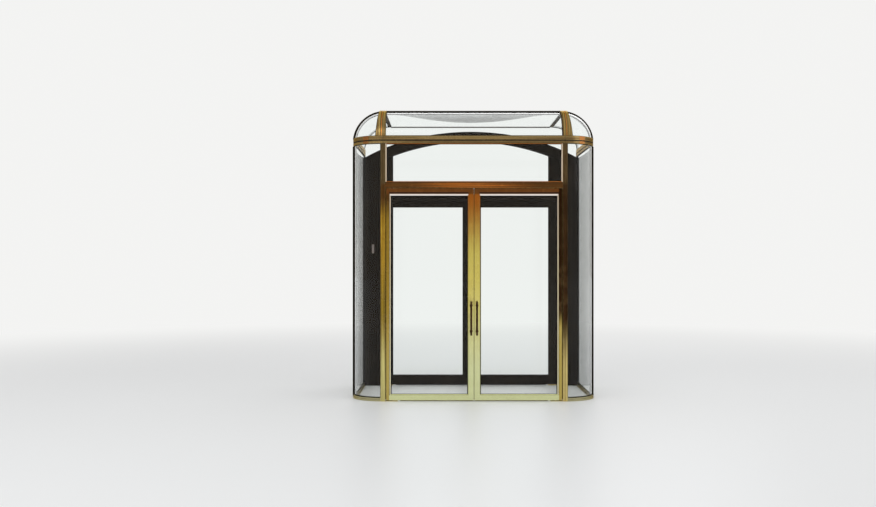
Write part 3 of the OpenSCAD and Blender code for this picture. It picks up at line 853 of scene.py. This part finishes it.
GROOVE_LOW, GROOVE_HIGH, GROOVE_DEEP, GROOVE_STRIP = 0.0263, 0.0377, 0.008, 0.006
SLEEVE_FROM, SLEEVE_TO, SLEEVE_T = 27, 39, 0.0012
LINE_PROUD = 0.0004
RAIL_LINE = (0.0055, 0.0145)
HEADER_LINE = (-0.0064, -0.0006)
BEAM_LINE = 0.0028
WALL_END = WALL_POST_Y - 0.001
SEAM_FROM, SEAM_TO = math.asin(BEAM_RISE / OUTER_R) + 0.002, math.radians(84)


def around_path(radius):
    """The line round the front, the corners and the sides, at a distance from the corners' middles."""
    points, outwards = [], []
    for side in (LEFT, RIGHT):
        away = [plan_way(side, turn) for turn in stops(0.0, math.pi / 2, 16)]
        line = [Vector((side * POST_X, BEND_Y, 0)) + a * radius for a in away]
        line.append(Vector((side * (POST_X + radius), WALL_END, 0)))
        away.append(X_AXIS * side)
        if side == LEFT:
            line.reverse()
            away.reverse()
        points += line
        outwards += away
    return points, outwards


def beam_trim():
    """Rubber in the bottom of the beam's groove, put there as painted shade of the groove, and the joints of
    its front.
    """
    trim = Piece("beam_groove_shade_strips", "frame", "polished_brass", "seal_rubber")
    low, high = BEAM_LOW.z + GROOVE_LOW, BEAM_LOW.z + GROOVE_HIGH
    for flip in (-1, 1):
        line, outwards = around_path(GLASS_R + flip * (BEAM_HALF - GROOVE_DEEP))
        line = [p + Z_AXIS * (low + high) / 2 for p in line]
        add_sweep(trim, line, outwards, bar_section((high - low) / 2, 0.0, flip * GROOVE_STRIP))
    trim.finish()
    joints = Piece("beam_joint_lines", "frame", "polished_brass", "seal_rubber")
    half, proud, rim = 0.0012, 0.0005, 0.003
    for x in (-POST_X, POST_X):
        for z0, z1 in ((BEAM_LOW.z + rim, low), (high, BEAM_HIGH.z - rim)):
            add_box(joints, (x - half, BEAM_LOW.y - proud, z0), (x + half, BEAM_LOW.y + SUNK, z1))
    joints.finish()


def corner_sleeves():
    """Copper sleeves over the joints of the beam at the two rounded corners."""
    sleeves = Piece("corner_sleeves", "frame", "copper_brass", "sleeve_copper")
    turns = stops(math.radians(SLEEVE_FROM), math.radians(SLEEVE_TO), 8)
    rim = 0.001
    for side in (LEFT, RIGHT):
        away = [plan_way(side, turn) for turn in turns]
        for z0, z1 in ((BEAM_LOW.z + rim, BEAM_LOW.z + GROOVE_LOW - rim),
                       (BEAM_LOW.z + GROOVE_HIGH + rim, BEAM_HIGH.z - rim)):
            add_arc(sleeves, Vector((side * POST_X, BEND_Y, (z0 + z1) / 2)), away, GLASS_R + BEAM_HALF,
                    bar_section((z1 - z0) / 2, -SUNK, SLEEVE_T))
    sleeves.finish()


def edge_lines():
    """Thin dark lines on the lobby face: along the top of the header, under the beam, and on each
    leaf along the lower edge of its top rail, where the line is painted shadow above the glass."""
    def face_line(piece, x0, x1, face, z0, z1):
        add_box(piece, (x0, face - LINE_PROUD, z0), (x1, face + SUNK, z1))

    for _, word in SIDES:
        low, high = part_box(f"lobby_leaf_glass_{word}")
        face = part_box(f"lobby_leaf_{word}")[0].y
        # Painted shadow along the lower edge of the leaf's top rail
        rail = Piece(f"lobby_rail_line_{word}", f"lobby_door_{word}", "polished_brass", "seal_rubber")
        face_line(rail, low.x, high.x, face, high.z + RAIL_LINE[0], high.z + RAIL_LINE[1])
        rail.finish()
    lines = Piece("header_lines", "frame", "copper_brass", "seal_rubber")
    low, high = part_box("door_header")
    face_line(lines, low.x, high.x, low.y, high.z + HEADER_LINE[0], high.z + HEADER_LINE[1])
    face_line(lines, BEAM_LOW.x, BEAM_HIGH.x, BEAM_LOW.y, BEAM_LOW.z, BEAM_LOW.z + BEAM_LINE)
    lines.finish()


def front_way(angle):
    """A direction in a rib's plane, turned from straight ahead upwards."""
    return Vector((0, -math.cos(angle), math.sin(angle)))


def rib_seams():
    """The raised seam on each rib in line with the post's outer edge, and a brass strip beside it."""
    seams = Piece("rib_seams", "frame", "polished_brass", "seal_rubber")
    strips = Piece("rib_strips", "frame", "polished_brass", "gold_bead")
    outwards = [front_way(turn) for turn in stops(SEAM_FROM, SEAM_TO, 20)]
    for side in (LEFT, RIGHT):
        for piece, x, half, proud in ((seams, POST_HIGH.x, 0.0016, 0.0006),
                                      (seams, POST_LOW.x + 0.004, 0.0012, 0.0005),
                                      (strips, POST_HIGH.x - 0.007, 0.0034, 0.0009)):
            add_arc(piece, Vector((side * x, BEND_Y, BEND_Z)), outwards, OUTER_R,
                    bar_section(half, -SUNK, proud))
    seams.finish()
    strips.finish()


def base_trim():
    """Thin dark bedding along the top of the base rail and over its foot."""
    bedding = Piece("base_bedding", "frame", "polished_brass", "seal_rubber")
    top_half, foot_z, foot_half, proud, clear = 0.0022, 0.0195, 0.0012, 0.0006, 0.002
    for flip in (-1, 1):
        points, outwards = around_path(GLASS_R + flip * HALF_TUBE)
        for z, half in ((BASE_TOP - top_half, top_half), (foot_z, foot_half)):
            for side in (LEFT, RIGHT):
                kept = [(p + Z_AXIS * z, away) for p, away in zip(points, outwards)
                        if p.x * side > POST_HIGH.x + clear]
                add_sweep(bedding, *zip(*kept), bar_section(half, -flip * SUNK, flip * proud))
    bedding.finish()


beam_trim()
corner_sleeves()
edge_lines()
rib_seams()
base_trim()


# Pulls: collars on the stems and domed ends on the bars

PULL_ENDS = (0.70, 1.05)
STEM_IN = 0.040
STEM_HEIGHTS = (PULL_ENDS[0] + STEM_IN, PULL_ENDS[1] - STEM_IN)
PULL_OFF = 0.042
BAR_R, STEM_R = 0.010, 0.007
HALF_LEAF = 0.0225
ROSE_T = 0.005
COLLAR_IN = 0.0135
END_DOME = [(BAR_R, -CLEAR), (BAR_R, 0.001), (0.0088, 0.0028), (0.006, 0.0042), (0.002, 0.005)]
ROSE_RIM = [(STEM_R, 0.0), (0.0105, 0.0), (0.0112, 0.0015), (0.0105, 0.003), (0.0085, 0.0042),
            (STEM_R, 0.0052)]
COLLAR = [(STEM_R, 0.0), (0.0088, 0.001), (0.0088, 0.0028), (STEM_R, 0.0038)]
DOOR_SLOT = {"lobby": "polished_brass", "wall": "black_bronze"}
PULL_METAL = {"lobby": "pull_bronze", "wall": "black_bronze"}
SCREW_METAL = {"lobby": "screw_brass", "wall": "black_bronze"}
PILE_FIBRE = {"lobby": "gold_pile", "wall": "dark_pile"}
LEAVES = [(kind, side, word) for kind in DOOR_SLOT for side, word in SIDES]


def pull_faces(kind, word):
    """(bar's x, leaf's middle y, face) of the two pulls of a leaf."""
    low, high, y = pane_box(f"{kind}_pulls_{word}")
    return [((low.x + high.x) / 2, y, face) for face in (-1, 1)]


def finish_pulls():
    for kind, _, word in LEAVES:
        piece = Piece(f"{kind}_pull_ends_{word}", f"{kind}_door_{word}", DOOR_SLOT[kind], PULL_METAL[kind])
        for x, y, face in pull_faces(kind, word):
            bar_y = y + face * (HALF_LEAF + PULL_OFF)
            for z, way in zip(PULL_ENDS, (-1, 1)):
                add_turned(piece, Vector((x, bar_y, z)), Z_AXIS * way, END_DOME)
            for z in STEM_HEIGHTS:
                add_turned(piece, Vector((x, y + face * (HALF_LEAF + ROSE_T), z)), Y_AXIS * face, ROSE_RIM)
                add_turned(piece, Vector((x, bar_y - face * COLLAR_IN, z)), Y_AXIS * face, COLLAR)
        piece.finish()


finish_pulls()


# A blank cover plate on the left jamb

PLATE_X, PLATE_LOW, PLATE_HIGH, PLATE_W, PLATE_T = -1.163, 1.568, 1.672, 0.026, 0.003


def jamb_plate():
    plate = Piece("jamb_plate", "frame", "black_bronze", "satin_plate")
    place = flat_pane(Y_AXIS * JAMB_LOW.y, X_AXIS, Z_AXIS, -Y_AXIS)
    half, cut = PLATE_W / 2, 0.0015
    rings = []
    for inset, out in ((0.0, -0.0005), (0.0, PLATE_T - cut), (cut, PLATE_T)):
        rings.append([place(u, v, out) for u, v in rectangle(
            PLATE_X - half + inset, PLATE_LOW + inset, PLATE_X + half - inset, PLATE_HIGH - inset)])
    plate.add([p for ring in rings for p in ring], [(3, 2, 1, 0), (8, 9, 10, 11)] + quads(3, 4))
    plate.finish(smooth_angle=math.radians(20))


jamb_plate()


# Geometry Nodes: slotted screws and brush pile


def point_tree(name, build, **inputs):
    """A Geometry Nodes tree with named inputs. build stands shapes on its points, and every tree
    ends in Realize Instances and Set Material."""
    tree = bpy.data.node_groups.new(name, "GeometryNodeTree")
    tree.interface.new_socket("Geometry", in_out="INPUT", socket_type="NodeSocketGeometry")
    for label, value in inputs.items():
        add_input(tree, label, value)
    tree.interface.new_socket("Material", in_out="INPUT", socket_type="NodeSocketMaterial")
    tree.interface.new_socket("Geometry", in_out="OUTPUT", socket_type="NodeSocketGeometry")
    given = tree.nodes.new("NodeGroupInput").outputs
    real = add_node(tree, "GeometryNodeRealizeInstances", {"Geometry": build(tree, given)})
    done = add_node(tree, "GeometryNodeSetMaterial", {"Geometry": real.outputs["Geometry"],
                                                      "Material": given["Material"]})
    set_inputs(tree, tree.nodes.new("NodeGroupOutput"), {"Geometry": done.outputs["Geometry"]})
    return tree


def triple(tree, x, y, z):
    return add_node(tree, "ShaderNodeCombineXYZ", {"X": x, "Y": y, "Z": z}).outputs["Vector"]


def tapered(tree, sides, radius, share, height):
    """A low cone whose upper radius is a share of its lower one."""
    return add_node(tree, "GeometryNodeMeshCone",
                    {"Vertices": sides, "Radius Bottom": radius, "Depth": height,
                     "Radius Top": product(tree, radius, share)}).outputs["Mesh"]


def stand_on(tree, given, points, shape, least, most):
    """Stands a shape on each point, along the direction kept with it, and turns each at random."""
    kept = add_node(tree, "GeometryNodeInputNamedAttribute", {"Name": "facing"}, data_type="FLOAT_VECTOR")
    along = add_node(tree, "FunctionNodeAlignRotationToVector", {"Vector": kept.outputs["Attribute"]},
                     axis="Z")
    placed = add_node(tree, "GeometryNodeInstanceOnPoints",
                      {"Points": points, "Instance": shape, "Rotation": along.outputs["Rotation"]})
    turn = add_node(tree, "FunctionNodeRandomValue", {"Min": least, "Max": most, "Seed": given["Seed"]},
                    data_type="FLOAT_VECTOR")
    return add_node(tree, "GeometryNodeRotateInstances",
                    {"Instances": placed.outputs["Instances"],
                     "Rotation": turn.outputs["Value"]}).outputs["Instances"]


def slotted_screws(tree, given):
    """A low head with a cut slot at every point, each turned to its own angle."""
    radius, height = given["Head Radius"], given["Head Height"]
    head = tapered(tree, 16, radius, 0.72, height)
    size = triple(tree, product(tree, radius, 3.0), given["Slot Width"], height)
    cutter = add_node(tree, "GeometryNodeMeshCube", {"Size": size})
    raised = add_node(tree, "GeometryNodeTransform", {"Geometry": cutter.outputs["Mesh"],
                                                      "Translation": triple(tree, 0.0, 0.0, height)})
    cut = add_node(tree, "GeometryNodeMeshBoolean", {"Mesh 1": head, "Mesh 2": raised.outputs["Geometry"]},
                   operation="DIFFERENCE")
    return stand_on(tree, given, given["Geometry"], cut.outputs["Mesh"], (0, 0, 0), (0, 0, math.pi))


def brush_pile(tree, given):
    """Tufts of brush pile at even steps along lines, each leaning a little its own way."""
    curve = add_node(tree, "GeometryNodeMeshToCurve", {"Mesh": given["Geometry"]})
    points = add_node(tree, "GeometryNodeCurveToPoints",
                      {"Curve": curve.outputs["Curve"], "Length": given["Spacing"]}, mode="LENGTH")
    tuft = tapered(tree, 4, given["Tuft Radius"], 0.85, given["Pile Height"])
    back = product(tree, given["Lean"], -1.0)
    return stand_on(tree, given, points.outputs["Points"], tuft, triple(tree, back, back, back),
                    triple(tree, *[given["Lean"]] * 3))


SCREWS = point_tree("Slotted Screws", slotted_screws, Head_Radius=0.003, Head_Height=0.001,
                    Slot_Width=0.0007, Seed=4)
PILE = point_tree("Brush Pile", brush_pile, Spacing=0.002, Pile_Height=0.005, Tuft_Radius=0.0014,
                  Lean=0.12, Seed=7)


def grow(name, tree, spots, edges, body, slot, material, **values):
    """Runs a tree on spots, which are (point, direction), and bakes the result to a plain mesh."""
    mesh = bpy.data.meshes.new(name)
    mesh.from_pydata([tuple(point) for point, _ in spots], edges, [])
    kept = mesh.attributes.new("facing", "FLOAT_VECTOR", "POINT")
    kept.data.foreach_set("vector", [c for _, direction in spots for c in direction])
    obj = in_scene(name, mesh)
    modifier = obj.modifiers.new(tree.name, "NODES")
    modifier.node_group = tree
    chosen = {label.replace("_", " "): value for label, value in values.items()}
    chosen["Material"] = MATERIALS[material]
    for item in tree.interface.items_tree:
        if item.item_type == "SOCKET" and item.in_out == "INPUT" and item.name in chosen:
            modifier[item.identifier] = chosen[item.name]
    evaluated = obj.evaluated_get(bpy.context.evaluated_depsgraph_get())
    baked = bpy.data.meshes.new_from_object(evaluated)
    obj.modifiers.remove(modifier)
    obj.data = baked
    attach(obj, body)


FOOT_SCREWS_IN, FOOT_SCREW_OFF, FOOT_PLATE_TOP = (0.012, 0.118), 0.016, 0.006
RIB_SCREWS = (16, 31, 46, 61, 76)
SLEEVE_SCREW_IN = 2.5
BEAM_SCREWS = (BEAM_LOW.z + 0.013, BEAM_HIGH.z - 0.020)
PLATE_SCREW_IN = 0.010
ROSE_SCREW_OFF = 0.0133
BEAD_SCREWS, BEAD_SCREW_IN, BEAD_SCREW_END = 8, 0.0035, 0.12


def frame_screws():
    """Screws of the floor plates, the ribs, the copper sleeves and the cover plate."""
    spots = []
    plates = ((POST_LOW.x, FRONT_Y), (JAMB_LOW.x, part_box("wall_leaf_right")[0].y + HALF_LEAF))
    for side in (LEFT, RIGHT):
        for edge, y in plates:
            for x in (edge - inwards for inwards in FOOT_SCREWS_IN):
                for off in (-FOOT_SCREW_OFF, FOOT_SCREW_OFF):
                    spots.append((Vector((side * x, y + off, FOOT_PLATE_TOP)), Z_AXIS))
        for degrees in RIB_SCREWS:
            away = front_way(math.radians(degrees))
            place = Vector((0, BEND_Y, BEND_Z)) + away * OUTER_R
            x = (POST_HIGH.x + rib_edge_x(place.z)) / 2
            spots.append((Vector((side * x, place.y, place.z)), away))
        for degrees in (SLEEVE_FROM + SLEEVE_SCREW_IN, SLEEVE_TO - SLEEVE_SCREW_IN):
            away = plan_way(side, math.radians(degrees))
            for z in BEAM_SCREWS:
                centre = Vector((side * POST_X, BEND_Y, z))
                spots.append((centre + away * (GLASS_R + BEAM_HALF + SLEEVE_T), away))
    for z in (PLATE_LOW + PLATE_SCREW_IN, PLATE_HIGH - PLATE_SCREW_IN):
        spots.append((Vector((PLATE_X, JAMB_LOW.y - PLATE_T, z)), -Y_AXIS))
    grow("frame_screws", SCREWS, spots, [], "frame", "polished_brass", "screw_brass",
         Head_Radius=0.0032, Head_Height=0.0010, Slot_Width=0.0008)


def door_screws():
    """Screws in the roses, and along the beads on the lobby side."""
    for kind, _, word in LEAVES:
        spots = []
        for x, y, face in pull_faces(kind, word):
            for z in STEM_HEIGHTS:
                for up in (-ROSE_SCREW_OFF, ROSE_SCREW_OFF):
                    spots.append((Vector((x, y + face * (HALF_LEAF + ROSE_T), z + up)), Y_AXIS * face))
        low, high, y = pane_box(f"{kind}_leaf_glass_{word}")
        for z in stops(low.z + BEAD_SCREW_END, high.z - BEAD_SCREW_END, BEAD_SCREWS - 1):
            for x in (low.x + BEAD_SCREW_IN, high.x - BEAD_SCREW_IN):
                spots.append((Vector((x, y - BEAD_TOP, z)), -Y_AXIS))
        grow(f"{kind}_screws_{word}", SCREWS, spots, [], f"{kind}_door_{word}", DOOR_SLOT[kind],
             SCREW_METAL[kind], Head_Radius=0.0020, Head_Height=0.0008, Slot_Width=0.0006)


ROW_OFF = 0.0022
LEAF_GAP = 0.006
PIN_IN = 0.070
PIN_CLEAR = 0.013
HEAD_PILE_IN, HEAD_PILE_OUT = 0.076, 0.066
HEEL_FOOT = 0.02
MEET_FILL = 0.0035
END_CLEAR = 0.004
HEEL_CLEAR = 0.150
HEEL_PILE, MEETING_PILE, TOP_PILE, SWEEP = 0.0054, 0.0026, 0.0056, 0.0090


def grow_pile(name, lines, body, kind, height):
    """Two rows of pile beside each other along each line of lines: (start, end, direction)."""
    spots, edges = [], []
    for start, end, direction in lines:
        for row in (-1, 1):
            edges.append((len(spots), len(spots) + 1))
            spots += [(end_point + Y_AXIS * (ROW_OFF * row), direction) for end_point in (start, end)]
    grow(name, PILE, spots, edges, body, DOOR_SLOT[kind], PILE_FIBRE[kind], Pile_Height=height)


def heel_pile():
    """Pile on the posts and jambs beside each heel, over it on both sides of the pin, and over the
    gap between the leaves."""
    for kind, edge in (("lobby", POST_LOW.x), ("wall", JAMB_LOW.x)):
        lines = []
        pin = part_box(f"{kind}_leaf_right")[1].x - PIN_IN
        for side, word in SIDES:
            _, high, y = pane_box(f"{kind}_leaf_{word}")
            head = high.z + LEAF_GAP
            x = side * edge
            lines.append((Vector((x, y, HEEL_FOOT)), Vector((x, y, high.z)), X_AXIS * -side))
            for a, b in ((-HEAD_PILE_IN, -PIN_CLEAR), (PIN_CLEAR, HEAD_PILE_OUT)):
                lines.append((Vector((side * (pin + a), y, head)), Vector((side * (pin + b), y, head)),
                              -Z_AXIS))
        lines.append((Vector((-MEET_FILL, y, head)), Vector((MEET_FILL, y, head)), -Z_AXIS))
        grow_pile(f"{kind}_heel_pile", lines, "frame", kind, HEEL_PILE)


def leaf_pile():
    """Pile on each leaf: along its meeting edge, along its top clear of the pin, and a sweep below."""
    for kind, side, word in LEAVES:
        low, high, y = pane_box(f"{kind}_leaf_{word}")
        meet, heel = sorted((abs(low.x), abs(high.x)))
        start, clear, edge = side * (meet + END_CLEAR), side * (heel - HEEL_CLEAR), side * meet
        for part, x0, z0, x1, z1, direction, height in (
                ("meeting_pile", edge, low.z + END_CLEAR, edge, high.z - END_CLEAR, X_AXIS * -side,
                 MEETING_PILE),
                ("top_pile", start, high.z, clear, high.z, Z_AXIS, TOP_PILE),
                ("sweep", start, low.z, clear, low.z, -Z_AXIS, SWEEP)):
            grow_pile(f"{kind}_{part}_{word}", [(Vector((x0, y, z0)), Vector((x1, y, z1)), direction)],
                      f"{kind}_door_{word}", kind, height)


frame_screws()
door_screws()
heel_pile()
leaf_pile()


# Stage, lights and camera

PAPER = (0.82, 0.82, 0.81)
BACKDROP = (0.90, 0.90, 0.89)
HORIZON = (0.52, 0.49, 0.45)
OVERHEAD = (0.92, 0.92, 0.92)
SKYLIGHT = (0.9, 0.92, 0.95)
SKY_STRENGTH = 0.8
BAND_TOP, OVERHEAD_FROM = 0.12, 0.5
FLOOR_HALF, FLOOR_Z = 60.0, -0.0005
FADE_FROM, FADE_TO = 4.0, 13.0
LAMP_HEIGHT = 5.0
LAMP_AIM = (0, 0, 1.2)
LAMPS = (("key", (-4.5, -6.5, 7.0), 7.0, 210), ("fill", (7.0, -3.5, 5.0), 6.0, 90),
         ("back", (2.0, 7.5, 6.5), 7.0, 140))


def make_floor():
    """A pale floor that keeps the object's shadow and fades into the backdrop far away."""
    mesh = bpy.data.meshes.new("stage_floor")
    corners = rectangle(-FLOOR_HALF, -FLOOR_HALF, FLOOR_HALF, FLOOR_HALF)
    mesh.from_pydata([(x, y, FLOOR_Z) for x, y in corners], [], [(0, 1, 2, 3)])
    floor = in_scene("stage_floor", mesh)
    material, tree, shader = new_material("stage_floor")
    set_inputs(tree, shader, {"Base Color": PAPER, "Roughness": 0.4})
    away = add_node(tree, "ShaderNodeVectorMath", {0: object_place(tree)}, operation="LENGTH")
    fade = map_range(tree, away.outputs["Value"], FADE_FROM, FADE_TO)
    path = add_node(tree, "ShaderNodeLightPath").outputs
    seen = math_node(tree, "MAXIMUM", path["Is Camera Ray"], path["Is Transmission Ray"])
    seen = math_node(tree, "MAXIMUM", seen, path["Is Glossy Ray"])
    glow = add_node(tree, "ShaderNodeEmission", {"Color": BACKDROP}).outputs[0]
    close_surface(tree, mix_shaders(tree, product(tree, fade, seen), shader.outputs["BSDF"], glow))
    mesh.materials.append(material)


def area_lamp(name, place, width, power):
    data = bpy.data.lights.new(name, "AREA")
    data.shape = "RECTANGLE"
    data.size, data.size_y = width, LAMP_HEIGHT
    data.energy = power
    lamp = in_scene(name, data)
    lamp.location = place
    lamp.rotation_mode = "QUATERNION"
    lamp.rotation_quaternion = (Vector(LAMP_AIM) - Vector(place)).to_track_quat("-Z", "Y")
    lamp.visible_transmission = False


def make_world():
    """Soft light all round. The camera and the glass see the backdrop, and metal sees it with a dim
    band near the horizon, so that its shape shows. Light that reaches a surface through the glass is
    counted once, by its shadow rays."""
    world = bpy.data.worlds.new("studio")
    bpy.context.scene.world = world
    world.use_nodes = True
    tree = world.node_tree
    tree.nodes.clear()
    path = add_node(tree, "ShaderNodeLightPath").outputs
    direction = add_node(tree, "ShaderNodeTexCoord").outputs["Generated"]
    level = add_node(tree, "ShaderNodeSeparateXYZ", {0: direction}).outputs["Z"]
    straight = math_node(tree, "LESS_THAN", path["Diffuse Depth"], 0.5)
    through = product(tree, path["Is Transmission Ray"], straight)
    seen = math_node(tree, "MAXIMUM", path["Is Camera Ray"], through)
    mirrored = mix_colour(tree, map_range(tree, level, BAND_TOP, OVERHEAD_FROM), HORIZON, OVERHEAD)
    unglazed = difference(tree, 1.0, path["Is Transmission Ray"])
    shown, reflected, soft = (add_node(tree, "ShaderNodeBackground", inputs).outputs[0] for inputs in (
        {"Color": BACKDROP}, {"Color": mirrored},
        {"Color": SKYLIGHT, "Strength": product(tree, unglazed, SKY_STRENGTH)}))
    unseen = mix_shaders(tree, path["Is Glossy Ray"], soft, reflected)
    add_node(tree, "ShaderNodeOutputWorld", {"Surface": mix_shaders(tree, seen, unseen, shown)})


IMAGE_W, IMAGE_H = 876, 507
FOCAL_PX = 1000
VANISH_X, VANISH_Y = 444, 259
EYE_X, EYE_Z = -0.317, 1.50
EYE_BACK = 10.53


def make_camera():
    data = bpy.data.cameras.new("camera")
    data.sensor_width = 36.0
    data.lens = data.sensor_width * FOCAL_PX / IMAGE_W
    data.shift_x = (IMAGE_W / 2 - VANISH_X) / IMAGE_W
    data.shift_y = (VANISH_Y - IMAGE_H / 2) / IMAGE_W
    camera = in_scene("camera", data)
    camera.location = (EYE_X, POST_LOW.y - EYE_BACK, EYE_Z)
    camera.rotation_euler = (math.pi / 2, 0, 0)
    bpy.context.scene.camera = camera


make_floor()
make_world()
for lamp_name, lamp_place, lamp_width, lamp_power in LAMPS:
    area_lamp(lamp_name, lamp_place, lamp_width, lamp_power)
make_camera()
bpy.context.scene.view_settings.view_transform = "Standard"
